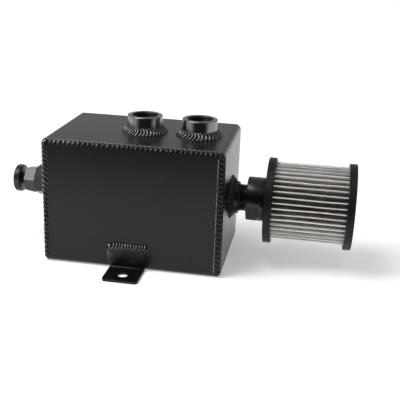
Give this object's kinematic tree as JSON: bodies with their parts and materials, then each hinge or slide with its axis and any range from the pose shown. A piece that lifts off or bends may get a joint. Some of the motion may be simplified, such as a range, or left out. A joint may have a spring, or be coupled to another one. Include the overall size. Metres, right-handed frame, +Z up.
{
  "type": "oil catch can",
  "caption": "Welded sheet-metal oil catch can with open threaded inlet ports on top, a screw-in breather filter at one end, a drain tap at the other and bolt-down tabs.",
  "frame": {"origin": "midway between the two tabs' bolt holes, on the plane that the tabs bolt down to", "axes": "+X from the drain end to the breather end, +Y from the front wall to the rear wall, +Z up out of the inlet ports"},
  "size_m": [0.2957, 0.16, 0.1196],
  "materials": {
    "tank_coat": "satin black coat on welded aluminium sheet",
    "dark_fitting": "black coat on turned aluminium",
    "cap_rubber": "matt moulded black urethane",
    "steel_mesh": "woven stainless wire",
    "steel_core": "perforated bare steel",
    "bare_sheet": "bare mill sheet",
    "seal_rubber": "matt black rubber"
  },
  "bodies": {
    "tank": {"body_sheet": "tank_coat", "cover_sheet": "tank_coat", "baffle_plate": "bare_sheet", "front_seam_weld": "tank_coat", "rear_seam_weld": "tank_coat", "base_weld_drain_end": "tank_coat", "base_weld_breather_end": "tank_coat", "front_tab": "tank_coat", "rear_tab": "tank_coat", "front_tab_weld": "tank_coat", "rear_tab_weld": "tank_coat", "breather_bung": "tank_coat", "breather_bung_weld": "tank_coat", "drain_bung": "tank_coat", "drain_bung_weld": "tank_coat", "drain_seal": "seal_rubber", "drain_adapter": "dark_fitting", "drain_valve_body": "dark_fitting", "inlet_bung_drain_side": "tank_coat", "inlet_weld_drain_side": "tank_coat", "inlet_bung_breather_side": "tank_coat", "inlet_weld_breather_side": "tank_coat"},
    "breather_seal_ring": {"breather_seal": "seal_rubber"},
    "breather_filter": {"breather_adapter": "dark_fitting", "filter_base_cap": "cap_rubber", "filter_end_cap": "cap_rubber", "filter_element": "steel_mesh", "filter_core": "steel_core"},
    "drain_seal_ring": {"drain_stem_ring": "seal_rubber"},
    "drain_handle": {"drain_stem": "dark_fitting", "drain_knob": "dark_fitting"}
  },
  "joints": [
    {"name": "filter_draw", "type": "slide", "parent": "tank", "child": "breather_seal_ring", "axis": [1, 0, 0], "range_m": [0, 0.0109]},
    {"name": "filter_turn", "type": "hinge", "parent": "breather_seal_ring", "child": "breather_filter", "pos_m": [0.0772, 0, 0.05378], "axis": [1, 0, 0], "range_deg": [0, 2160]},
    {"name": "drain_lift", "type": "slide", "parent": "tank", "child": "drain_seal_ring", "axis": [-1, 0, 0], "range_m": [0, 0.00201]},
    {"name": "drain_turn", "type": "hinge", "parent": "drain_seal_ring", "child": "drain_handle", "pos_m": [-0.0728, 0, 0.05378], "axis": [-1, 0, 0], "range_deg": [0, 720]}
  ],
  "couplings": [
    {"joint": "filter_draw", "follows": "filter_turn", "m_per_rad": 0.00028875},
    {"joint": "drain_lift", "follows": "drain_turn", "m_per_rad": 0.00015915}
  ]
}
